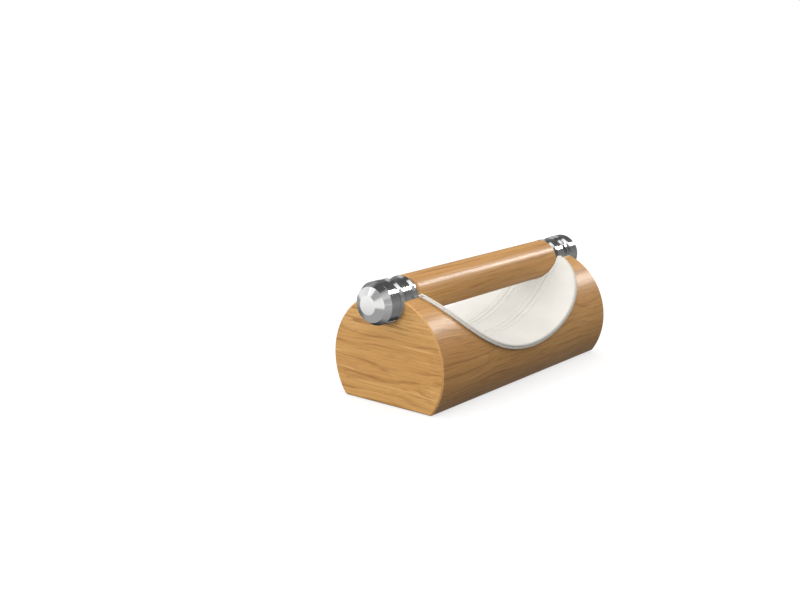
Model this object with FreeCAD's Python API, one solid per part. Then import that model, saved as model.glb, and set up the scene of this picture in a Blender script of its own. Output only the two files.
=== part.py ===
import FreeCAD, Part
import math
import os

Vector = FreeCAD.Vector
FULL_TURN = 360.0
SIDES = {"left": -1, "right": 1}

# All sizes are in millimetres.
# X runs along the bar, +Z is up, and the origin is on the floor under the middle of the block.

# Wooden base block: a lying round log with a flat underside
block_length = 262.0
block_radius = 60.0
block_axis_height = 36.5
block_edge_chamfer = 1.2

# Saddle that is cut across the block for the hands
end_land = 17.3
saddle_floor = 35.1

# Anti-slip sheet in a shallow recess of the underside
sheet_thickness = 2.0
sheet_proud = 0.5
sheet_margin = 5.0
sheet_corner_radius = 6.0
sheet_clearance = 0.2

# Handle bar, laid in open seats at the two ends of the block
bar_axis_drop = 4.9
seat_clearance = 0.3
seat_edge_chamfer = 0.6
knob_gap = 1.0

# Wooden grip
grip_radius = 18.0
grip_end_chamfer = 1.5

# Steel rod that ties the handle bar together
rod_radius = 5.0
rod_clearance = 0.2
rod_end_chamfer = 1.0
thread_clearance = 0.05
thread_depth = 16.0
thread_end_gap = 1.5

# Two rings on each end that rest in the seat: the collar beside the wood, the neck ring beside the knob
ring_length = 7.3
ring_edge_radius = 17.0
ring_crown_radius = 18.2
ring_crown_width = 1.0

# Ferrule between the two rings, with a spigot that centres the wood
ferrule_length = 9.6
ferrule_radius = 17.0
spigot_radius = 9.0
spigot_length = 14.0
spigot_clearance = 0.1
spigot_end_gap = 0.5

# End knob, turned with a sloping back, two cones and a flat face
knob_radius = 18.5
knob_back_radius = 17.0
knob_back_length = 3.5
knob_rim_length = 10.0
knob_shoulder_length = 6.0
knob_shoulder_radius = 15.2
knob_face_length = 3.8
knob_face_radius = 8.2
knob_edge_round = 0.4

# Split lock washer under the knob
washer_radius = 9.0
washer_thickness = 2.2
washer_clearance = 0.4
washer_split_width = 1.2

# Upright pin in each seat that stops the bar from turning
pin_radius = 2.5
pin_rise = 7.0
pin_depth = 14.0
pin_tip_chamfer = 0.8
pin_fit = 0.05
pin_clearance = 0.3

# Saddle liner: a felt backing under three sewn leather panels
felt_thickness = 2.6
leather_thickness = 2.0
glue_gap = 0.1
liner_overhang = 2.8
felt_inset = 0.4
liner_bar_clearance = 0.4
liner_tip_round = 1.2
seam_offset = 16.0
seam_gap = 0.3

# Small tack through the liner's rim at each tip
tack_radius = 0.55
tack_head_radius = 0.85
tack_head_thickness = 0.5
tack_length = 14.0
tack_fit = 0.05
tack_from_slot = 3.6

# One overrun for every cut that runs out of its piece
overrun = 5.0

# Places worked out from the sizes above
block_half = block_length / 2
underside_z = sheet_proud
block_axis_z = underside_z + block_axis_height
crown_z = block_axis_z + block_radius
flat_half_width = math.sqrt(block_radius**2 - block_axis_height**2)

saddle_half_span = block_half - end_land
saddle_depth = crown_z - underside_z - saddle_floor
saddle_radius = (saddle_depth**2 + saddle_half_span**2) / (2 * saddle_depth)
saddle_axis_z = crown_z - saddle_depth + saddle_radius

bar_axis_z = crown_z - bar_axis_drop
knob_back = block_half + knob_gap
neck_inner = knob_back - ring_length
ferrule_inner = neck_inner - ferrule_length
grip_half = ferrule_inner - ring_length
knob_front = (knob_back + knob_back_length + knob_rim_length
              + knob_shoulder_length + knob_face_length)

widest_radius = max(grip_radius, ring_crown_radius)
seat_radius = widest_radius + seat_clearance
liner_slot_radius = widest_radius + liner_bar_clearance

felt_outer_radius = saddle_radius - glue_gap
felt_inner_radius = felt_outer_radius - felt_thickness
leather_outer_radius = felt_inner_radius - glue_gap
leather_inner_radius = leather_outer_radius - leather_thickness

pin_x = ferrule_inner + ferrule_length / 2
seat_bottom_z = bar_axis_z - seat_radius


def box_between(low, high):
    """Box from its lowest to its highest corner."""
    size = high - low
    return Part.makeBox(size.x, size.y, size.z, low)


def cylinder_along_x(radius, x_low, x_high, z):
    return Part.makeCylinder(radius, x_high - x_low, Vector(x_low, 0, z), Vector(1, 0, 0))


def saddle_cylinder(radius):
    """Cylinder across the block, on the saddle's axis."""
    half = block_radius + liner_overhang + overrun
    return Part.makeCylinder(radius, 2 * half, Vector(0, -half, saddle_axis_z), Vector(0, 1, 0))


def upright_slot(radius, x_low, x_high):
    """Round-bottomed slot around the bar, open at the top."""
    round_part = cylinder_along_x(radius, x_low, x_high, bar_axis_z)
    top_z = crown_z + liner_overhang + overrun
    walls = box_between(Vector(x_low, -radius, bar_axis_z), Vector(x_high, radius, top_z))
    return round_part.fuse(walls)


def polygon_face(points):
    return Part.Face(Part.makePolygon(points + points[:1]))


def on_bar(distance, radius, side):
    """Point of a turned outline: distance from the middle along the bar, and radius."""
    return Vector(side * distance, 0, bar_axis_z + radius)


def turned(face):
    """Solid of revolution about the bar's axis."""
    solid = face.revolve(Vector(0, 0, bar_axis_z), Vector(1, 0, 0), FULL_TURN)
    if solid.Volume < 0:
        solid.reverse()
    return solid


def turned_outline(outline, side):
    return turned(polygon_face([on_bar(distance, radius, side) for distance, radius in outline]))


def log_prism():
    """Round log with a flat underside, before its cuts."""
    corner_a = Vector(-block_half, -flat_half_width, underside_z)
    corner_b = Vector(-block_half, flat_half_width, underside_z)
    crown = Vector(-block_half, 0, crown_z)
    outline = Part.Wire([Part.Arc(corner_a, crown, corner_b).toShape(),
                         Part.LineSegment(corner_b, corner_a).toShape()])
    return Part.Face(outline).extrude(Vector(block_length, 0, 0))


def seat_edge_cutter(x_low, x_high, half_width):
    """Wedge that breaks both top edges of a slot."""
    edge_z = block_axis_z + math.sqrt(block_radius**2 - half_width**2)
    reach = seat_edge_chamfer + overrun
    low_z = edge_z - seat_edge_chamfer
    face = polygon_face([
        Vector(x_low, -half_width, low_z),
        Vector(x_low, half_width, low_z),
        Vector(x_low, half_width + reach, low_z + reach),
        Vector(x_low, -half_width - reach, low_z + reach),
    ])
    return face.extrude(Vector(x_high - x_low, 0, 0))


def sheet_blank(half_length, half_width, corner_radius, z_low, z_high):
    blank = box_between(Vector(-half_length, -half_width, z_low), Vector(half_length, half_width, z_high))
    upright = [edge for edge in blank.Edges if edge.BoundBox.ZLength > (z_high - z_low) / 2]
    return blank.makeFillet(corner_radius, upright)


def base_block():
    body = log_prism()
    body = body.makeChamfer(block_edge_chamfer, body.Edges)
    body = body.cut(saddle_cylinder(saddle_radius))
    slot_end = block_half + overrun
    body = body.cut(upright_slot(seat_radius, -slot_end, slot_end))
    body = body.cut(seat_edge_cutter(-slot_end, slot_end, seat_radius))
    body = body.cut(sheet_blank(block_half - sheet_margin, flat_half_width - sheet_margin,
                                sheet_corner_radius, underside_z - overrun, sheet_thickness))
    for side in SIDES.values():
        body = body.cut(seat_pin(side, pin_fit))
    for tack in rim_tacks(tack_fit):
        body = body.cut(tack)
    return body


def anti_slip_sheet():
    inset = sheet_margin + sheet_clearance
    return sheet_blank(block_half - inset, flat_half_width - inset,
                       sheet_corner_radius - sheet_clearance, 0, sheet_thickness)


def seat_pin(side, growth):
    """Pin in the seat's lowest line; growth widens it into the hole that takes it."""
    base = Vector(side * pin_x, 0, seat_bottom_z - pin_depth)
    pin = Part.makeCylinder(pin_radius + growth, pin_depth + pin_rise, base)
    if growth:
        return pin
    top_z = seat_bottom_z + pin_rise
    top_edges = [edge for edge in pin.Edges if edge.BoundBox.ZMin > top_z - pin_tip_chamfer]
    return pin.makeChamfer(pin_tip_chamfer, top_edges)


def grip():
    body = cylinder_along_x(grip_radius, -grip_half, grip_half, bar_axis_z)
    rims = [edge for edge in body.Edges if edge.BoundBox.XLength < grip_half]
    body = body.makeChamfer(grip_end_chamfer, rims)
    body = body.cut(cylinder_along_x(rod_radius + rod_clearance, -grip_half - overrun,
                                     grip_half + overrun, bar_axis_z))
    socket_inner = ferrule_inner - spigot_length - spigot_end_gap
    for side in SIDES.values():
        ends = sorted((side * socket_inner, side * (grip_half + overrun)))
        body = body.cut(cylinder_along_x(spigot_radius + spigot_clearance, ends[0], ends[1], bar_axis_z))
    return body


def tie_rod():
    half = knob_back + thread_depth - thread_end_gap
    rod = cylinder_along_x(rod_radius, -half, half, bar_axis_z)
    rims = [edge for edge in rod.Edges if edge.BoundBox.XLength < half]
    return rod.makeChamfer(rod_end_chamfer, rims)


def beaded_ring(inner, bore, side):
    """Ring of two cones that meet in a narrow crown."""
    outer = inner + ring_length
    crown_start = inner + (ring_length - ring_crown_width) / 2
    return turned_outline([
        (inner, bore),
        (inner, ring_edge_radius),
        (crown_start, ring_crown_radius),
        (crown_start + ring_crown_width, ring_crown_radius),
        (outer, ring_edge_radius),
        (outer, bore),
    ], side)


def collar_ring(side):
    return beaded_ring(grip_half, spigot_radius + spigot_clearance, side)


def ferrule(side):
    bore = rod_radius + rod_clearance
    spigot_end = ferrule_inner - spigot_length
    body = turned_outline([
        (spigot_end, bore),
        (spigot_end, spigot_radius),
        (ferrule_inner, spigot_radius),
        (ferrule_inner, ferrule_radius),
        (neck_inner, ferrule_radius),
        (neck_inner, bore),
    ], side)
    return body.cut(seat_pin(side, pin_clearance))


def neck_ring(side):
    return beaded_ring(neck_inner, rod_radius + rod_clearance, side)


def knob(side):
    thread = rod_radius + thread_clearance
    rim_start = knob_back + knob_back_length
    rim_end = rim_start + knob_rim_length
    shoulder_end = rim_end + knob_shoulder_length
    washer_seat = knob_back + washer_thickness
    body = turned_outline([
        (knob_back, washer_radius + washer_clearance),
        (knob_back, knob_back_radius),
        (rim_start, knob_radius),
        (rim_end, knob_radius),
        (shoulder_end, knob_shoulder_radius),
        (knob_front, knob_face_radius),
        (knob_front, 0),
        (knob_back + thread_depth, 0),
        (knob_back + thread_depth, thread),
        (washer_seat, thread),
        (washer_seat, washer_radius + washer_clearance),
    ], side)
    shown = [edge for edge in body.Edges
             if edge.BoundBox.XLength < knob_edge_round
             and abs(edge.CenterOfMass.x) > rim_start - knob_edge_round]
    shown = [edge for edge in shown if edge.BoundBox.YLength / 2 > thread + thread_clearance]
    return body.makeFillet(knob_edge_round, shown)


def lock_washer(side):
    bore = rod_radius + rod_clearance
    ring = turned_outline([
        (knob_back, bore),
        (knob_back, washer_radius),
        (knob_back + washer_thickness, washer_radius),
        (knob_back + washer_thickness, bore),
    ], side)
    ends = sorted((side * (knob_back - overrun), side * (knob_back + washer_thickness + overrun)))
    split = box_between(Vector(ends[0], -washer_split_width / 2, bar_axis_z),
                        Vector(ends[1], washer_split_width / 2, bar_axis_z + washer_radius + overrun))
    return ring.cut(split)


def liner_form(overhang):
    """Outline of the liner seen along the bar: round outside, slotted for the bar, rounded tips."""
    radius = block_radius + overhang
    form = cylinder_along_x(radius, -block_half, block_half, block_axis_z)
    form = form.cut(upright_slot(liner_slot_radius, -block_half - overrun, block_half + overrun))
    tip_z = block_axis_z + math.sqrt(radius**2 - liner_slot_radius**2)
    tips = [edge for edge in form.Edges
            if edge.BoundBox.XLength > block_half and edge.BoundBox.ZMin > tip_z - liner_tip_round]
    return form.makeFillet(liner_tip_round, tips)


def liner_layer(outer_radius, inner_radius, overhang):
    shell = saddle_cylinder(outer_radius).cut(saddle_cylinder(inner_radius))
    return liner_form(overhang).common(shell)


def liner_backing():
    body = liner_layer(felt_outer_radius, felt_inner_radius, liner_overhang - felt_inset)
    for tack in rim_tacks(tack_fit):
        body = body.cut(tack)
    return body


def leather_strip(y_low, y_high):
    """The leather between two lines along the bar."""
    reach_x = block_half + overrun
    strip = box_between(Vector(-reach_x, y_low, -overrun), Vector(reach_x, y_high, crown_z + liner_overhang))
    return liner_layer(leather_outer_radius, leather_inner_radius, liner_overhang).common(strip)


def liner_panels():
    edge = block_radius + liner_overhang + overrun
    seam_near = seam_offset - seam_gap / 2
    seam_far = seam_offset + seam_gap / 2
    return {
        "liner_front_panel": leather_strip(-edge, -seam_far),
        "liner_centre_panel": leather_strip(-seam_near, seam_near),
        "liner_rear_panel": leather_strip(seam_far, edge),
    }


def rim_tacks(growth):
    """Four tacks, driven through the felt's rim towards the block's axis."""
    tacks = []
    y = liner_slot_radius + tack_from_slot
    rim_radius = block_radius + liner_overhang - felt_inset
    rim_z = block_axis_z + math.sqrt(rim_radius**2 - y**2)
    mid_felt = (felt_outer_radius + felt_inner_radius) / 2
    x = math.sqrt(mid_felt**2 - (saddle_axis_z - rim_z)**2)
    for side_x in (-1, 1):
        for side_y in (-1, 1):
            top = Vector(side_x * x, side_y * y, rim_z)
            inward = Vector(0, -side_y * y, block_axis_z - rim_z)
            inward.normalize()
            shank = Part.makeCylinder(tack_radius + growth, tack_length, top, inward)
            head = Part.makeCylinder(tack_head_radius + growth, tack_head_thickness, top, inward)
            tacks.append(shank.fuse(head).removeSplitter())
    return tacks


def all_pieces():
    pieces = {
        "base_block": base_block(),
        "anti_slip_sheet": anti_slip_sheet(),
        "liner_backing": liner_backing(),
        "liner_tacks": Part.makeCompound(rim_tacks(0)),
        "grip": grip(),
        "tie_rod": tie_rod(),
    }
    pieces.update(liner_panels())
    for name, side in SIDES.items():
        pieces["seat_pin_" + name] = seat_pin(side, 0)
        pieces["collar_ring_" + name] = collar_ring(side)
        pieces["ferrule_" + name] = ferrule(side)
        pieces["neck_ring_" + name] = neck_ring(side)
        pieces["lock_washer_" + name] = lock_washer(side)
        pieces["knob_" + name] = knob(side)
    return pieces


os.makedirs("parts", exist_ok=True)
for node, shape in all_pieces().items():
    shape.exportStep("parts/" + node + ".step")
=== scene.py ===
import math

import bmesh
import bpy
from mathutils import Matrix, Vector


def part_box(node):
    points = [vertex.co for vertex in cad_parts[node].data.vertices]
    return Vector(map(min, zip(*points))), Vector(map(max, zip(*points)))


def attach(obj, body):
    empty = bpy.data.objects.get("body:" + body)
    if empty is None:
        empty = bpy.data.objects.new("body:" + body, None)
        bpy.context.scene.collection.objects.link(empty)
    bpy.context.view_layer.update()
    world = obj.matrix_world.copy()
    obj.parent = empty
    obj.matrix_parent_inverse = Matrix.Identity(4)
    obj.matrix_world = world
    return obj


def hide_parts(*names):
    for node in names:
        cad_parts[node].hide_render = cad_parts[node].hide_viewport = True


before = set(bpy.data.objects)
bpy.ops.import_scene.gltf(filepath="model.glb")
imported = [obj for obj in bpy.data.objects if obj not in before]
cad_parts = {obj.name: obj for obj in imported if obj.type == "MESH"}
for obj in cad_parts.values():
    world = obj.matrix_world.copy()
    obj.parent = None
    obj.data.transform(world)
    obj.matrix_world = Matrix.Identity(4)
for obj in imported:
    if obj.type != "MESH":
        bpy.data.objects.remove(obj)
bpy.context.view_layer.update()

# All sizes are in metres.
# X runs along the bar, +Z is up, and the origin is on the floor under the middle of the block.
SIDES = {"front": -1, "rear": 1}

# Places read from the frame
block_low, block_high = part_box("base_block")
grip_low, grip_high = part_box("grip")
bar_axis_z = (grip_low.z + grip_high.z) / 2

# Saddle and liner, with the sizes of the part's source
block_axis_height = 0.0365
end_land = 0.0173
saddle_floor = 0.0351
glue_gap = 0.0001
felt_thickness = 0.0026
leather_thickness = 0.0020
liner_overhang = 0.0028
felt_inset = 0.0004
liner_slot_radius = 0.0186
seam_offset = 0.0160
seam_gap = 0.0003

block_radius = block_high.y
block_axis_z = block_low.z + block_axis_height
crown_z = block_axis_z + block_radius
saddle_half_span = block_high.x - end_land
saddle_depth = crown_z - block_low.z - saddle_floor
saddle_radius = (saddle_depth**2 + saddle_half_span**2) / (2 * saddle_depth)
saddle_axis_z = crown_z - saddle_depth + saddle_radius

# How the sheets are cut: rounded edges and corners, and the spacing of their mesh lines
edge_round = 0.00035
edge_segments = 3
tip_round = 0.0012
seam_corner_round = 0.0003
corner_segments = 5
sharp_corner = math.radians(40)
outline_step = 0.0025
slot_turn_step = 0.1
panel_step = 0.004

# The leather's upper face is drawn in along the rim, except on the narrow tips
rim_draw = 0.0011
rim_draw_reach = 0.004
rim_lines = (0.35, 0.55, 0.75)
narrow_strip = 0.002
full_strip = 0.012

# Sewing: a valley at each seam, a folded allowance beside it, and a row of stitches on each side
valley_depth = 0.00015
valley_width = 0.0007
valley_lines = [0.0005, 0.0010, 0.0016, 0.0030]
allowance_width = 0.0068
allowance_fade = 0.001
allowance_rise = 0.00025
row_distance = 0.0055
row_dip = 0.0002
row_dip_width = 0.0005
row_dip_lines = (-1.6, -0.8, 0, 0.8, 1.6)
row_margin = 0.003
stitch_pitch = 0.0042
stitch_length = 0.0022
stitch_step = 0.25
stitch_top = 0.8
stitch_fall = 1.8
thread_half_width = 0.00052
thread_half_height = 0.0003
thread_taper = 0.55
thread_sides = 8
bend_step = stitch_pitch / 4

# Camera, as found from the photograph
camera_place = Vector((-0.831864, -0.590325, 0.307471))
camera_azimuth = math.radians(-50.594)
camera_elevation = math.radians(13.202)
camera_lens = 50.797
camera_sensor = 36.0

# Floor: paper that fades to plain white between two distances from the middle
floor_half = 6.0
floor_paper = 0.35
floor_glow = 0.68
floor_fade = (0.4, 1.0)

# What the steel reflects: a grey dome with light cards, and a card on the floor with a painted shadow near
# the block
# A step has its start and end, and the value before and after it
dome_radius = 4.0
dome_foot = 0.1
dome_grey = 0.088
dome_left = (-0.25, 0.45, 0.34, 0.0)
dome_left_top = (0.62, 0.97, 1.0, 0.0)
dome_horizon = (0.0, 0.65, 0.14, 0.0)
dome_cards = [
    # azimuth, elevation, inner and outer angle in degrees, and glow
    # a glow below zero takes light away
    (112, 12, 18, 38, 0.5),
    (146, 33, 10, 13, 0.75),
    (-167, 3, 9, 20, 0.5),
    (-102, 46, 10, 26, 0.3),
    (68, 38, 14, 32, 0.16),
    (-32, 69, 5, 14, 1.1),
    (-69, 61, 5, 13, 1.1),
    (51, 44, 5, 17, 0.4),
    (-80, 22, 12, 24, -0.1),
]
card_lift = 0.0002
floor_card_zones = [
    # each zone is the product of its steps along an axis
    [("X", -0.5, -0.34, 0.58, 0.0)],
    [("X", -0.17, -0.1, 0.24, 0.0)],
    # painted shadow: darker near the block's sides
    [("aside", 0.05, 0.3, 0.2, 0.26)],
    [("Y", 0.12, 0.4, 0.0, 0.28), ("X", 0.0, 0.3, 1.0, 0.0)],
    [("X", 0.18, 0.28, 0.0, 1.0), ("Y", 0.06, 0.12, 0.0, 0.2)],
    # painted shadow: a dark patch under the front of the block
    [("X", -0.16, -0.13, 0.0, 1.0), ("X", 0.1, 0.15, 1.0, 0.0), ("Y", -0.04, 0.0, 0.0, -0.16)],
]

# Lights: a sky that is brighter above, and lamps with their place, aim, size and glow
sky_low = 0.53
sky_rise = 0.96
left_key = ((-1.7, 0.15, 0.3), (0, 0, 0.05), (0.5, 0.6), 14.0)
rear_fill = ((0, 1.5, 1.2), (0, 0, 0.06), (1.6, 1.0), 0.9)

# Long strip light beside the bar and parallel to it
strip_distance = 1.0
strip_lean = math.radians(34.0)
strip_middle = 1.4
strip_size = (1.4, 0.28)
strip_glow = 13.5


# Geometry of the sheets

class Layer:
    """One layer of the liner. It is cut flat, along an arc line and across it, and laid in the saddle."""

    def __init__(self, under_radius, thickness, overhang):
        self.under_radius = under_radius
        self.thickness = thickness
        self.face_radius = under_radius - thickness
        self.rim_radius = block_radius + overhang
        self.tip_z = block_axis_z + math.sqrt(self.rim_radius**2 - liner_slot_radius**2)
        self.reach = self.face_radius * self.tip_angle(self.face_radius)

    def tip_angle(self, radius):
        return math.acos((saddle_axis_z - self.tip_z) / radius)

    def arc_at(self, z):
        """Arc from the middle to where the layer's face has a height."""
        return self.face_radius * math.acos((saddle_axis_z - z) / self.face_radius)

    def height_at(self, arc):
        return saddle_axis_z - self.face_radius * math.cos(arc / self.face_radius)

    def rim_at(self, arc):
        """Half width out to the rim, which follows the round block."""
        return math.sqrt(self.rim_radius**2 - (self.height_at(arc) - block_axis_z)**2)

    def slot_at(self, arc):
        """Half width of the slot for the bar, or zero below it."""
        drop = max(bar_axis_z - self.height_at(arc), 0)
        return math.sqrt(max(liner_slot_radius**2 - drop**2, 0))

    def slot_arc(self, y):
        """Arc from the middle to the slot's round bottom."""
        return self.arc_at(bar_axis_z - math.sqrt(max(liner_slot_radius**2 - y**2, 0)))

    def place(self, arc, y, height):
        """Point of the laid layer: the cut edges keep level with the block's own round."""
        radius = self.under_radius - height
        angle = arc / self.reach * self.tip_angle(radius)
        return Vector((radius * math.sin(angle), y, saddle_axis_z - radius * math.cos(angle)))


felt_layer = Layer(saddle_radius - glue_gap, felt_thickness, liner_overhang - felt_inset)
leather_layer = Layer(felt_layer.face_radius - glue_gap, leather_thickness, liner_overhang)


def spread(low, high, step):
    """Evenly spaced values from low to high, about a step apart."""
    count = max(1, round(abs(high - low) / step))
    return [low + (high - low) * i / count for i in range(count + 1)]


def rim_line(layer, side):
    return [(arc, side * layer.rim_at(arc)) for arc in spread(-layer.reach, layer.reach, outline_step)]


def felt_outline():
    front = rim_line(felt_layer, SIDES["front"])
    quarter = math.pi / 2
    turn = [liner_slot_radius * math.sin(angle) for angle in spread(-quarter, quarter, slot_turn_step)]
    half = front + [(felt_layer.slot_arc(y), y) for y in turn]
    return half + [(-arc, -y) for arc, y in half]


def side_panel_outline(side):
    seam = seam_offset + seam_gap / 2
    rim = rim_line(leather_layer, side)
    back = spread(leather_layer.reach, -leather_layer.reach, outline_step)[1:-1]
    return rim + [(arc, side * max(seam, leather_layer.slot_at(arc))) for arc in back]


def centre_panel_outline():
    half_width = seam_offset - seam_gap / 2
    end = [(leather_layer.slot_arc(y), y) for y in spread(-half_width, half_width, outline_step / 2)]
    return end + [(-arc, -y) for arc, y in end]


def outline_size(outline):
    """Width, length and area of a flat outline."""
    arcs, across = zip(*outline)
    pairs = zip(outline, outline[1:] + outline[:1])
    area = abs(sum(a[0] * b[1] - b[0] * a[1] for a, b in pairs)) / 2
    return max(across) - min(across), max(arcs) - min(arcs), area


def upright(edge):
    one, two = (vert.co for vert in edge.verts)
    return abs(one.z - two.z) > edge_round


def round_off(mesh, edges, offset, segments):
    bmesh.ops.bevel(mesh, geom=edges, offset=offset, segments=segments, profile=0.5, affect="EDGES")


def flat_sheet(outline, thickness, corner_round):
    """Flat sheet with rounded corners and edges."""
    mesh = bmesh.new()
    under = [mesh.verts.new((arc, y, 0)) for arc, y in outline]
    upper = [mesh.verts.new((arc, y, thickness)) for arc, y in outline]
    mesh.faces.new(under)
    mesh.faces.new(upper)
    for i in range(len(outline)):
        mesh.faces.new((under[i - 1], under[i], upper[i], upper[i - 1]))
    bmesh.ops.recalc_face_normals(mesh, faces=mesh.faces)
    corners = [edge for edge in mesh.edges if upright(edge) and edge.calc_face_angle() > sharp_corner]
    round_off(mesh, corners, corner_round, corner_segments)
    rims = [edge for edge in mesh.edges if not upright(edge)]
    round_off(mesh, rims, edge_round, edge_segments)
    return mesh


def add_lines(mesh, axis, places):
    """Cuts mesh lines across an axis, so that the sheet can bend there."""
    for place in places:
        geometry = mesh.verts[:] + mesh.edges[:] + mesh.faces[:]
        bmesh.ops.bisect_plane(mesh, geom=geometry, plane_co=axis * place, plane_no=axis)


def new_object(name, mesh):
    """Turns a bmesh into an object of the scene."""
    data = bpy.data.meshes.new(name)
    mesh.to_mesh(data)
    mesh.free()
    thing = bpy.data.objects.new(name, data)
    bpy.context.scene.collection.objects.link(thing)
    return thing


def new_piece(name, mesh):
    """Turns a bmesh into a smooth piece that rides on the block's body."""
    piece = new_object(name, mesh)
    piece.data.shade_smooth()
    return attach(piece, "base")


def lay(mesh, layer, relief, draw=0.0):
    """Lays a flat sheet in the saddle, with its upper face raised by the relief and drawn in at the rim."""
    for vert in mesh.verts:
        arc, y, height = vert.co
        share = height / layer.thickness
        inwards = math.copysign(draw * share**2 * near_rim(layer, arc, y), y)
        vert.co = layer.place(arc, y - inwards, height + share * relief(arc, y))


def near_rim(layer, arc, y):
    """One at the rim, and zero further in and at the narrow tips."""
    rim = layer.rim_at(arc)
    strip = rim - max(layer.slot_at(arc), seam_offset)
    broad = smooth_step(narrow_strip, full_strip, strip)
    return broad * smooth_step(rim - rim_draw_reach, rim, abs(y))


def bell(distance, width):
    return math.exp(-((distance / width) ** 2))


def smooth_step(low, high, value):
    share = min(max((value - low) / (high - low), 0), 1)
    return share * share * (3 - 2 * share)


def sewn_relief(arc, y):
    """How far sewing lifts or pulls down the leather at a point."""
    from_seam = abs(abs(y) - seam_offset)
    valley = -valley_depth * bell(from_seam, valley_width)
    fold_end = smooth_step(allowance_width - allowance_fade, allowance_width + allowance_fade, from_seam)
    fold = allowance_rise * (1 - fold_end)
    pull = 0.5 + 0.5 * math.cos(2 * math.pi * arc / stitch_pitch)
    row = -row_dip * pull * bell(from_seam - row_distance, row_dip_width)
    return valley + fold + row


def plain_relief(arc, y):
    return 0


def sewing_lines():
    """Distances from a seam at which the sewn relief needs mesh lines."""
    row = [row_distance + offset * row_dip_width for offset in row_dip_lines]
    return valley_lines + row + [allowance_width + allowance_fade]


def soft_edges(piece):
    """Keeps the broad faces even beside their rounded edges."""
    modifier = piece.modifiers.new("even_shading", "WEIGHTED_NORMAL")
    modifier.keep_sharp = True


def leather_panel(name, node, outline, corner_round):
    mesh = flat_sheet(outline, leather_thickness, corner_round)
    across = [y for arc, y in outline]
    low, high = min(across), max(across)
    lines = [side * (seam_offset + way * distance)
             for side in (-1, 1) for way in (-1, 1) for distance in sewing_lines()]
    lines += spread(low, high, panel_step)
    add_lines(mesh, Vector((0, 1, 0)), [y for y in lines if low < y < high])
    count = int(leather_layer.reach / bend_step)
    add_lines(mesh, Vector((1, 0, 0)), [i * bend_step for i in range(-count, count + 1)])
    add_lines(mesh, Vector((0, 0, 1)), [share * leather_thickness for share in rim_lines])
    lay(mesh, leather_layer, sewn_relief, rim_draw)
    piece = new_piece(name, mesh)
    soft_edges(piece)
    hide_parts(node)
    return piece


def felt_sheet():
    mesh = flat_sheet(felt_outline(), felt_thickness, tip_round)
    add_lines(mesh, Vector((0, 1, 0)), spread(-block_radius, block_radius, panel_step))
    add_lines(mesh, Vector((1, 0, 0)), spread(-felt_layer.reach, felt_layer.reach, 2 * bend_step))
    lay(mesh, felt_layer, plain_relief)
    piece = new_piece("saddle_felt", mesh)
    soft_edges(piece)
    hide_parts("liner_backing")
    return piece


def add_stitch(mesh, arc, y):
    """One stitch: a short thread that rises from its hole and dips into the next."""
    rings = []
    for t in spread(-1, 1, stitch_step):
        taper = 1 - thread_taper * t**4
        rise = thread_half_height * (stitch_top - stitch_fall * t**4)
        middle = leather_thickness + sewn_relief(arc, y) + rise
        ring = []
        for turn in range(thread_sides):
            angle = 2 * math.pi * turn / thread_sides
            aside = taper * thread_half_width * math.cos(angle)
            above = taper * thread_half_height * math.sin(angle)
            point = leather_layer.place(arc + t * stitch_length / 2, y + aside, middle + above)
            ring.append(mesh.verts.new(point))
        rings.append(ring)
    for one, two in zip(rings, rings[1:]):
        for i in range(thread_sides):
            mesh.faces.new((one[i - 1], one[i], two[i], two[i - 1]))
    mesh.faces.new(rings[0])
    mesh.faces.new(rings[-1])


def row_reach(y):
    """Arc from the middle to where a row of stitches ends."""
    if abs(y) < liner_slot_radius:
        return leather_layer.slot_arc(y) - row_margin
    rim_z = block_axis_z + math.sqrt(leather_layer.rim_radius**2 - y**2)
    return leather_layer.arc_at(rim_z) - row_margin


def stitch_rows(name, rows):
    """Rows of stitches along the saddle, halfway between the dips of their holes."""
    mesh = bmesh.new()
    for y in rows:
        count = int(row_reach(y) / stitch_pitch)
        for i in range(-count, count):
            add_stitch(mesh, (i + 0.5) * stitch_pitch, y)
    bmesh.ops.recalc_face_normals(mesh, faces=mesh.faces)
    piece = new_piece(name, mesh)
    return piece


# Materials

white = (1, 1, 1, 1)
oak_tones = (0.60, 0.315, 0.098, 1), (0.695, 0.395, 0.135, 1)
fibre_tone = (0.45, 0.215, 0.056, 1)
fleck_tone = (0.35, 0.155, 0.038, 1)
ring_tone = (0.34, 0.15, 0.036, 1)
pore_tone = (0.24, 0.11, 0.032, 1)
streak_tone = (0.80, 0.50, 0.20, 1)
# Lighter tone painted on the chamfers as a highlight
chamfer_highlight_tone = (0.86, 0.58, 0.28, 1)
leather_tones = (0.775, 0.747, 0.684, 1), (0.813, 0.785, 0.724, 1)
leather_grain_tone = (0.605, 0.56, 0.495, 1)
felt_tones = (0.62, 0.58, 0.51, 1), (0.79, 0.75, 0.67, 1)
felt_fibre_tone = (0.84, 0.81, 0.74, 1)
rubber_tones = (0.022, 0.022, 0.023, 1), (0.06, 0.058, 0.055, 1)
thread_tones = (0.90, 0.895, 0.865, 1), (0.97, 0.967, 0.945, 1)
bright_steel_tone = (0.80, 0.80, 0.795, 1)
dark_steel_tone = (0.25, 0.25, 0.26, 1)

# The varnish looks a little redder on the round sides than on the end faces
side_tint = (1.02, 0.955, 0.885, 1)

# How fine the oak's figure is along the grain and across it, per metre
oak_scales = {
    "sway": (7.0, 14.0, 14.0),
    "uneven": (2.0, 60.0, 60.0),
    "broken": (16.0, 150.0, 150.0),
    "fibre": (8.0, 560.0, 560.0),
    "fleck": (22.0, 520.0, 520.0),
    "pale": (4.0, 240.0, 240.0),
    "broad": (3.0, 40.0, 40.0),
    "pores": (90.0, 1400.0, 1400.0),
}
pith_slant = 0.05
ring_unevenness = 2.0

# Fine marks: turning marks and leather cells per metre, and the pitch of ribs and twisted thread
turning_scale = 4200.0
leather_cell_scale = 850.0
rib_pitch = 0.003
twist_pitch = 0.0006


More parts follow.
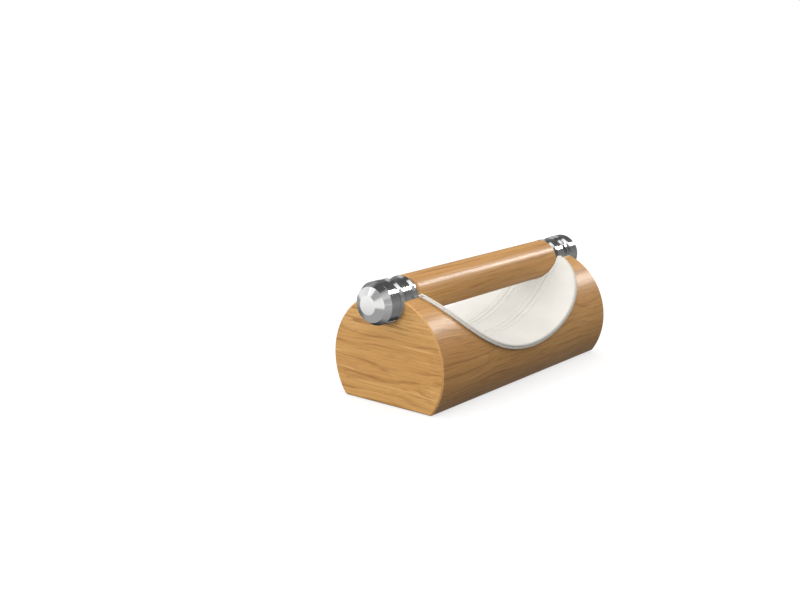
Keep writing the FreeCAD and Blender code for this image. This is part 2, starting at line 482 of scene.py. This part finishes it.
def new_material(name):
    material = bpy.data.materials.new(name)
    material.use_nodes = True
    tree = material.node_tree
    return material, tree, tree.nodes["Principled BSDF"]


def fill(tree, node, inputs):
    """Sets a node's inputs: a socket is linked, and any other value is set."""
    for key, value in inputs.items():
        if isinstance(value, bpy.types.NodeSocket):
            tree.links.new(value, node.inputs[key])
        else:
            node.inputs[key].default_value = value


def add(tree, kind, inputs, **settings):
    node = tree.nodes.new("ShaderNode" + kind)
    for key, value in settings.items():
        setattr(node, key, value)
    fill(tree, node, inputs)
    return node


def calc(tree, operation, *values, clamp=False):
    inputs = dict(enumerate(values))
    return add(tree, "Math", inputs, operation=operation, use_clamp=clamp).outputs[0]


def vector_calc(tree, operation, *values):
    node = add(tree, "VectorMath", dict(enumerate(values)), operation=operation)
    return node.outputs["Value" if operation in ("LENGTH", "DOT_PRODUCT") else "Vector"]


def scaled(tree, vector, scale):
    return vector_calc(tree, "MULTIPLY", vector, scale)


def noise(tree, vector, scale, detail=2.0, roughness=0.5, output="Fac"):
    inputs = {"Vector": vector, "Scale": scale, "Detail": detail, "Roughness": roughness}
    return add(tree, "TexNoise", inputs).outputs[output]


def between(tree, value, low, high, to_low=0.0, to_high=1.0):
    """Maps a value smoothly from one range to another."""
    inputs = {"Value": value, "From Min": low, "From Max": high, "To Min": to_low, "To Max": to_high}
    return add(tree, "MapRange", inputs, interpolation_type="SMOOTHSTEP").outputs["Result"]


def blended(tree, share, one, two, how="MIX"):
    node = add(tree, "Mix", {"Factor": share}, data_type="RGBA", blend_type=how)
    fill(tree, node, {6: one, 7: two})
    return node.outputs[2]


def bumped(tree, height, depth, strength=1.0):
    return add(tree, "Bump", {"Height": height, "Distance": depth, "Strength": strength}).outputs["Normal"]


def object_coordinates(tree):
    return add(tree, "TexCoord", {}).outputs["Object"]


def end_faces(tree):
    """One on the flat end faces, and zero elsewhere."""
    normal = add(tree, "TexCoord", {}).outputs["Normal"]
    facing = add(tree, "SeparateXYZ", {"Vector": normal}).outputs["X"]
    return calc(tree, "GREATER_THAN", calc(tree, "ABSOLUTE", facing), 0.9)


def grain_coordinates(tree, on_end):
    """Coordinates with the grain along X, and across the block on its end faces."""
    place = object_coordinates(tree)
    parts = add(tree, "SeparateXYZ", {"Vector": place})
    turned = {"X": parts.outputs["Y"], "Y": parts.outputs["X"], "Z": parts.outputs["Z"]}
    crossed = add(tree, "CombineXYZ", turned)
    node = add(tree, "Mix", {"Factor": on_end}, data_type="VECTOR")
    fill(tree, node, {4: place, 5: crossed.outputs["Vector"]})
    return node.outputs[1]


def chamfer_highlight_mask(tree):
    """One on the narrow chamfers round the ends, where the surface slants, and zero elsewhere: the mask of
    a painted highlight on the oak.
    """
    normal = add(tree, "TexCoord", {}).outputs["Normal"]
    facing = calc(tree, "ABSOLUTE", add(tree, "SeparateXYZ", {"Vector": normal}).outputs["X"])
    return calc(tree, "MULTIPLY", between(tree, facing, 0.45, 0.6),
                between(tree, facing, 0.8, 0.92, 1.0, 0.0))


def grain_noise(tree, grain, kind, detail, roughness=0.5, output="Fac"):
    return noise(tree, scaled(tree, grain, oak_scales[kind]), 1.0, detail, roughness, output)


def swayed_grain(tree, on_end, sway_depth):
    """Grain coordinates that wander gently across the grain."""
    grain = grain_coordinates(tree, on_end)
    sway = grain_noise(tree, grain, "sway", 2.0, output="Color")
    sway = vector_calc(tree, "SUBTRACT", sway, (0.5, 0.5, 0.5))
    return vector_calc(tree, "ADD", grain, scaled(tree, sway, (0.0, sway_depth, sway_depth)))


def ring_lines(tree, grain, pith, ring_width):
    """Dark line at each growth ring round the pith, broken up along the grain."""
    from_pith = scaled(tree, vector_calc(tree, "SUBTRACT", grain, pith), (pith_slant, 1.0, 1.0))
    uneven = calc(tree, "MULTIPLY", grain_noise(tree, grain, "uneven", 2.0), ring_unevenness)
    rings = calc(tree, "DIVIDE", vector_calc(tree, "LENGTH", from_pith), ring_width)
    phase = calc(tree, "FRACT", calc(tree, "ADD", rings, uneven))
    line = calc(tree, "MULTIPLY", between(tree, phase, 0.0, 0.05),
                between(tree, phase, 0.06, 0.24, 1.0, 0.0))
    broken = grain_noise(tree, grain, "broken", 4.0)
    return calc(tree, "MULTIPLY", line, between(tree, broken, 0.38, 0.62, 0.1, 1.0))


def oak_colour(tree, grain, on_end, fibre, line, pores):
    """Oak's colour: a broad change of tone with darker lines over it, pale streaks, and a painted highlight
    on the chamfers.
    """
    fleck = grain_noise(tree, grain, "fleck", 3.0, 0.6)
    pale = grain_noise(tree, grain, "pale", 2.0)
    broad = grain_noise(tree, grain, "broad", 3.0)
    depth = between(tree, on_end, 0.0, 1.0, 0.95, 1.25)
    darker = [
        (between(tree, fibre, 0.42, 0.7, 0.0, 0.6), fibre_tone),
        (between(tree, fleck, 0.56, 0.68, 0.0, 0.55), fleck_tone),
        (calc(tree, "MULTIPLY", line, 0.6), ring_tone),
        (calc(tree, "MULTIPLY", pores, 0.5), pore_tone),
    ]
    colour = blended(tree, between(tree, broad, 0.3, 0.7), *oak_tones)
    for share, tone in darker:
        colour = blended(tree, calc(tree, "MULTIPLY", share, depth), colour, tone)
    colour = blended(tree, between(tree, pale, 0.6, 0.72, 0.0, 0.55), colour, streak_tone)
    colour = blended(tree, 1.0, colour, blended(tree, on_end, side_tint, white), how="MULTIPLY")
    # Painted highlight: the chamfers round the ends are lightened
    return blended(tree, calc(tree, "MULTIPLY", chamfer_highlight_mask(tree), 0.14), colour, chamfer_highlight_tone)


def oak(name, pith, ring_width, sway_depth, coat_roughness):
    """Varnished oak: growth rings round a pith line, fibres, dark flecks, pale streaks, open pores, and a
    painted highlight on the chamfers.
    """
    material, tree, shader = new_material(name)
    on_end = end_faces(tree)
    grain = swayed_grain(tree, on_end, sway_depth)
    fibre = grain_noise(tree, grain, "fibre", 4.0, 0.65)
    line = ring_lines(tree, grain, pith, ring_width)
    pores = calc(tree, "MULTIPLY", between(tree, grain_noise(tree, grain, "pores", 2.0), 0.58, 0.72),
                 calc(tree, "ADD", line, 0.3))
    relief = calc(tree, "SUBTRACT", calc(tree, "MULTIPLY", fibre, 0.3), pores)
    fill(tree, shader, {
        "Base Color": oak_colour(tree, grain, on_end, fibre, line, pores),
        "Roughness": between(tree, fibre, 0.2, 0.8, 0.36, 0.48),
        "Specular IOR Level": 0.35,
        "Normal": bumped(tree, relief, 0.00005, 0.4),
        "Coat Weight": 0.42,
        "Coat Roughness": coat_roughness,
    })
    return material


def turned_steel(name, colour, roughness):
    """Steel with fine turning marks round the bar's axis."""
    material, tree, shader = new_material(name)
    parts = add(tree, "SeparateXYZ", {"Vector": object_coordinates(tree)})
    along = calc(tree, "ABSOLUTE", parts.outputs["X"])
    up = calc(tree, "SUBTRACT", parts.outputs["Z"], bar_axis_z)
    across = add(tree, "CombineXYZ", {"X": parts.outputs["Y"], "Y": up}).outputs["Vector"]
    travel = calc(tree, "ADD", along, vector_calc(tree, "LENGTH", across))
    turning = {"W": travel, "Scale": turning_scale, "Detail": 3.0}
    marks = add(tree, "TexNoise", turning, noise_dimensions="1D").outputs["Fac"]
    smears = noise(tree, object_coordinates(tree), 160.0, detail=4.0)
    tint = blended(tree, between(tree, marks, 0.3, 0.7), colour, tuple(0.9 * c for c in colour[:3]) + (1,))
    rough = calc(tree, "ADD", between(tree, marks, 0.25, 0.75, roughness - 0.03, roughness + 0.05),
                 between(tree, smears, 0.45, 0.75, 0.0, 0.05))
    fill(tree, shader, {
        "Base Color": tint,
        "Metallic": 1.0,
        "Roughness": rough,
        "Normal": bumped(tree, marks, 0.000004, 0.6),
    })
    return material


def white_leather(name):
    """Fine-grained leather with shallow creases."""
    material, tree, shader = new_material(name)
    place = object_coordinates(tree)
    pattern = {"Vector": place, "Scale": leather_cell_scale}
    cells = add(tree, "TexVoronoi", pattern, feature="DISTANCE_TO_EDGE").outputs["Distance"]
    grain = between(tree, cells, 0.0, 0.28)
    creases = noise(tree, scaled(tree, place, (70.0, 190.0, 120.0)), 1.0, detail=5.0, roughness=0.62)
    patches = noise(tree, place, 32.0, detail=3.0)
    colour = blended(tree, between(tree, patches, 0.3, 0.7), *leather_tones)
    colour = blended(tree, between(tree, grain, 0.0, 0.5, 0.16, 0.0), colour, leather_grain_tone)
    relief = calc(tree, "ADD", grain, calc(tree, "MULTIPLY", creases, 1.4))
    fill(tree, shader, {
        "Base Color": colour,
        "Roughness": between(tree, patches, 0.3, 0.7, 0.52, 0.62),
        "Normal": bumped(tree, relief, 0.00012, 0.6),
        "Specular IOR Level": 0.35,
        "Sheen Weight": 0.08,
    })
    return material


def grey_felt(name):
    """Pressed felt with loose, tangled fibres."""
    material, tree, shader = new_material(name)
    place = object_coordinates(tree)
    tangle = noise(tree, place, 900.0, detail=6.0, roughness=0.7)
    tufts = noise(tree, scaled(tree, place, (420.0, 900.0, 900.0)), 1.0, detail=5.0, roughness=0.65)
    colour = blended(tree, between(tree, tufts, 0.36, 0.64), *felt_tones)
    colour = blended(tree, between(tree, tangle, 0.45, 0.8, 0.0, 0.5), colour, felt_fibre_tone)
    fill(tree, shader, {
        "Base Color": colour,
        "Roughness": 0.95,
        "Normal": bumped(tree, tangle, 0.0003, 0.9),
        "Specular IOR Level": 0.2,
        "Sheen Weight": 0.1,
    })
    return material


def ribbed_rubber(name):
    """Matt rubber with fine ribs across the block."""
    material, tree, shader = new_material(name)
    place = object_coordinates(tree)
    along = add(tree, "SeparateXYZ", {"Vector": place}).outputs["X"]
    ribs = calc(tree, "SINE", calc(tree, "MULTIPLY", along, 2 * math.pi / rib_pitch))
    dust = noise(tree, place, 240.0, detail=5.0)
    colour = blended(tree, between(tree, dust, 0.5, 0.8), *rubber_tones)
    fill(tree, shader, {
        "Base Color": colour,
        "Roughness": between(tree, dust, 0.4, 0.8, 0.6, 0.8),
        "Normal": bumped(tree, ribs, 0.0003, 0.8),
    })
    return material


def sewing_thread(name):
    """Off-white twisted thread."""
    material, tree, shader = new_material(name)
    place = object_coordinates(tree)
    parts = add(tree, "SeparateXYZ", {"Vector": place})
    slant = calc(tree, "ADD", calc(tree, "ADD", parts.outputs["X"], parts.outputs["Z"]), parts.outputs["Y"])
    twist = calc(tree, "SINE", calc(tree, "MULTIPLY", slant, 2 * math.pi / twist_pitch))
    colour = blended(tree, between(tree, twist, -1.0, 1.0), *thread_tones)
    fill(tree, shader, {
        "Base Color": colour,
        "Roughness": 0.6,
        "Normal": bumped(tree, twist, 0.0001, 0.7),
        "Sheen Weight": 0.2,
    })
    return material


def dress(names, material):
    """Gives a material to CAD nodes or pieces."""
    for name in names:
        data = bpy.data.objects[name].data
        data.materials.clear()
        data.materials.append(material)


# Stage

def add_camera():
    back = Vector((math.sin(camera_azimuth) * math.cos(camera_elevation),
                   -math.cos(camera_azimuth) * math.cos(camera_elevation), math.sin(camera_elevation)))
    data = bpy.data.cameras.new("camera")
    data.lens = camera_lens
    data.sensor_width = camera_sensor
    camera = bpy.data.objects.new("camera", data)
    camera.location = camera_place
    camera.rotation_mode = "QUATERNION"
    camera.rotation_quaternion = (-back).to_track_quat("-Z", "Y")
    bpy.context.scene.collection.objects.link(camera)
    bpy.context.scene.camera = camera


def seen_rays(tree):
    """One for rays that show the stage itself, and zero for those that light the object with it."""
    path = add(tree, "LightPath", {}).outputs
    shown = calc(tree, "ADD", path["Is Camera Ray"], path["Is Glossy Ray"])
    return calc(tree, "ADD", shown, path["Is Transmission Ray"], clamp=True)


def add_world():
    """White light from all round, stronger from above, before a plain white backdrop."""
    world = bpy.data.worlds.new("studio")
    world.use_nodes = True
    tree = world.node_tree
    direction = add(tree, "TexCoord", {}).outputs["Generated"]
    height = add(tree, "SeparateXYZ", {"Vector": direction}).outputs["Z"]
    light = calc(tree, "ADD", calc(tree, "MULTIPLY", height, sky_rise), sky_low)
    shown = seen_rays(tree)
    hidden = calc(tree, "SUBTRACT", 1.0, shown)
    strength = calc(tree, "ADD", calc(tree, "MULTIPLY", hidden, light), shown)
    fill(tree, tree.nodes["Background"], {"Color": white, "Strength": strength})
    bpy.context.scene.world = world


def floor_material():
    """Paper that keeps a soft shadow near the object. It throws no light up at the object."""
    material, tree, shader = new_material("floor_paper")
    tree.nodes.remove(shader)
    far = vector_calc(tree, "LENGTH", object_coordinates(tree))
    strength = between(tree, far, *floor_fade, floor_glow, 1.0)
    lit = add(tree, "BsdfDiffuse", {"Color": (floor_paper, floor_paper, floor_paper, 1)})
    glowing = add(tree, "Emission", {"Strength": strength})
    shown = add(tree, "AddShader", {0: lit.outputs[0], 1: glowing.outputs[0]})
    dull = add(tree, "BsdfDiffuse", {"Color": (0, 0, 0, 1)})
    mixed = add(tree, "MixShader", {0: seen_rays(tree), 1: dull.outputs[0], 2: shown.outputs[0]})
    fill(tree, tree.nodes["Material Output"], {"Surface": mixed.outputs[0]})
    return material


def stage_object(name, mesh, material):
    stage = new_object(name, mesh)
    stage.data.materials.append(material)
    return stage


def only_reflected(stage):
    """Leaves a stage object to reflections, so that it neither shows nor takes light away."""
    stage.visible_camera = False
    stage.visible_diffuse = False
    stage.visible_shadow = False
    stage.visible_transmission = False
    stage.visible_volume_scatter = False


def add_floor():
    mesh = bmesh.new()
    bmesh.ops.create_grid(mesh, x_segments=1, y_segments=1, size=floor_half)
    stage_object("floor", mesh, floor_material())


def glowing_material(name):
    """A material whose light comes from an Emission node, and that node's tree."""
    material, tree, shader = new_material(name)
    tree.nodes.remove(shader)
    emission = add(tree, "Emission", {})
    fill(tree, tree.nodes["Material Output"], {"Surface": emission.outputs[0]})
    return material, tree, emission


def soft_card(tree, away, azimuth, elevation, inner, outer, glow):
    """Round card on the dome: full glow within the inner angle, and none beyond the outer one."""
    level = math.cos(math.radians(elevation))
    middle = (level * math.cos(math.radians(azimuth)), level * math.sin(math.radians(azimuth)),
              math.sin(math.radians(elevation)))
    facing = vector_calc(tree, "DOT_PRODUCT", away, middle)
    return between(tree, facing, math.cos(math.radians(outer)), math.cos(math.radians(inner)), 0.0, glow)


def add_surroundings():
    """Grey dome with light cards, as round a photo table: it gives the steel its tones."""
    material, tree, emission = glowing_material("surroundings")
    away = vector_calc(tree, "NORMALIZE", object_coordinates(tree))
    parts = add(tree, "SeparateXYZ", {"Vector": away})
    left = calc(tree, "MULTIPLY", between(tree, parts.outputs["X"], *dome_left),
                between(tree, parts.outputs["Z"], *dome_left_top))
    glow = calc(tree, "ADD", left, between(tree, parts.outputs["Z"], *dome_horizon))
    for card in dome_cards:
        glow = calc(tree, "ADD", glow, soft_card(tree, away, *card))
    fill(tree, emission, {"Strength": calc(tree, "ADD", glow, dome_grey)})
    mesh = bmesh.new()
    bmesh.ops.create_uvsphere(mesh, u_segments=64, v_segments=32, radius=dome_radius)
    low_faces = [face for face in mesh.faces if face.calc_center_median().z < dome_foot]
    bmesh.ops.delete(mesh, geom=low_faces, context="FACES")
    only_reflected(stage_object("surroundings", mesh, material))


def add_floor_card():
    """Grey card on the floor with lighter and darker zones, seen in reflections only. The darker zones
    beside and under the block are a painted shadow of the floor.
    """
    material, tree, emission = glowing_material("floor_card")
    parts = add(tree, "SeparateXYZ", {"Vector": object_coordinates(tree)}).outputs
    axes = {"X": parts["X"], "Y": parts["Y"], "aside": calc(tree, "ABSOLUTE", parts["Y"])}
    glow = 0.0
    for steps in floor_card_zones:
        zone = 1.0
        for axis, *step in steps:
            zone = calc(tree, "MULTIPLY", zone, between(tree, axes[axis], *step))
        glow = calc(tree, "ADD", glow, zone)
    fill(tree, emission, {"Strength": glow})
    mesh = bmesh.new()
    bmesh.ops.create_grid(mesh, x_segments=1, y_segments=1, size=dome_radius)
    bmesh.ops.translate(mesh, verts=mesh.verts, vec=(0, 0, card_lift))
    only_reflected(stage_object("floor_card", mesh, material))


def add_softbox(name, place, aim, size, glow, lights=True, reflected=False):
    """Rectangular light at a place, facing a point. A glow of one is as bright as white."""
    data = bpy.data.lights.new(name, "AREA")
    data.shape = "RECTANGLE"
    data.size, data.size_y = size
    data.energy = glow * math.pi * size[0] * size[1]
    lamp = bpy.data.objects.new(name, data)
    lamp.location = Vector(place)
    lamp.rotation_mode = "QUATERNION"
    lamp.rotation_quaternion = (Vector(place) - Vector(aim)).to_track_quat("Z", "Y")
    lamp.visible_camera = False
    lamp.visible_diffuse = lights
    lamp.visible_glossy = reflected
    bpy.context.scene.collection.objects.link(lamp)


def add_lights():
    add_world()
    add_softbox("left_key", *left_key)
    strip_y = -strip_distance * math.sin(strip_lean)
    strip_z = bar_axis_z + strip_distance * math.cos(strip_lean)
    add_softbox("bar_strip", (strip_middle, strip_y, strip_z), (strip_middle, 0, bar_axis_z),
                strip_size, strip_glow, lights=False, reflected=True)
    add_softbox("rear_fill", *rear_fill)


def add_felt():
    felt = felt_sheet()
    width, length, area = outline_size(felt_outline())
    dress([felt.name], grey_felt("grey_felt"))
    return felt


def add_leather():
    """Lays and sews the three panels on the felt."""
    panels = {
        # node, outline, corner round and rows of stitches
        "front": ("liner_front_panel", side_panel_outline(SIDES["front"]), tip_round,
                  [-seam_offset - row_distance]),
        "centre": ("liner_centre_panel", centre_panel_outline(), seam_corner_round,
                   [-seam_offset + row_distance, seam_offset - row_distance]),
        "rear": ("liner_rear_panel", side_panel_outline(SIDES["rear"]), tip_round,
                 [seam_offset + row_distance]),
    }
    leather = white_leather("white_leather")
    thread = sewing_thread("sewing_thread")
    sewn = []
    for name, (node, outline, corner_round, rows) in panels.items():
        panel = leather_panel("leather_" + name, node, outline, corner_round)
        stitches = stitch_rows("stitches_" + name, rows)
        width, length, area = outline_size(outline)
        dress([panel.name], leather)
        dress([stitches.name], thread)
        sewn.append(panel)
    return sewn


def dress_nodes():
    """Gives the CAD nodes their materials."""
    dress(["base_block"], oak("oak_block", pith=(0.0, 0.055, -0.06), ring_width=0.0062,
                              sway_depth=0.022, coat_roughness=0.29))
    dress(["grip"], oak("oak_grip", pith=(0.0, 0.03, 0.03), ring_width=0.0036,
                        sway_depth=0.005, coat_roughness=0.2))
    bright = [kind + side for kind in ("collar_ring_", "ferrule_", "neck_ring_", "knob_", "seat_pin_")
              for side in ("left", "right")]
    dress(bright, turned_steel("turned_steel", bright_steel_tone, roughness=0.1))
    dark = ["liner_tacks", "tie_rod", "lock_washer_left", "lock_washer_right"]
    dress(dark, turned_steel("dark_steel", dark_steel_tone, roughness=0.32))
    dress(["anti_slip_sheet"], ribbed_rubber("ribbed_rubber"))


def build():
    felt = add_felt()
    panels = add_leather()
    dress_nodes()
    # The steel reflects the studio alone, and the grip takes no soft light away from the leather
    nodes = [bpy.data.objects[name] for name in ("base_block", "anti_slip_sheet")]
    for thing in nodes + [felt] + panels:
        thing.visible_glossy = False
    bpy.data.objects["grip"].visible_diffuse = False


bpy.context.scene.view_settings.view_transform = "Standard"
add_camera()
add_floor()
add_floor_card()
add_surroundings()
add_lights()
build()
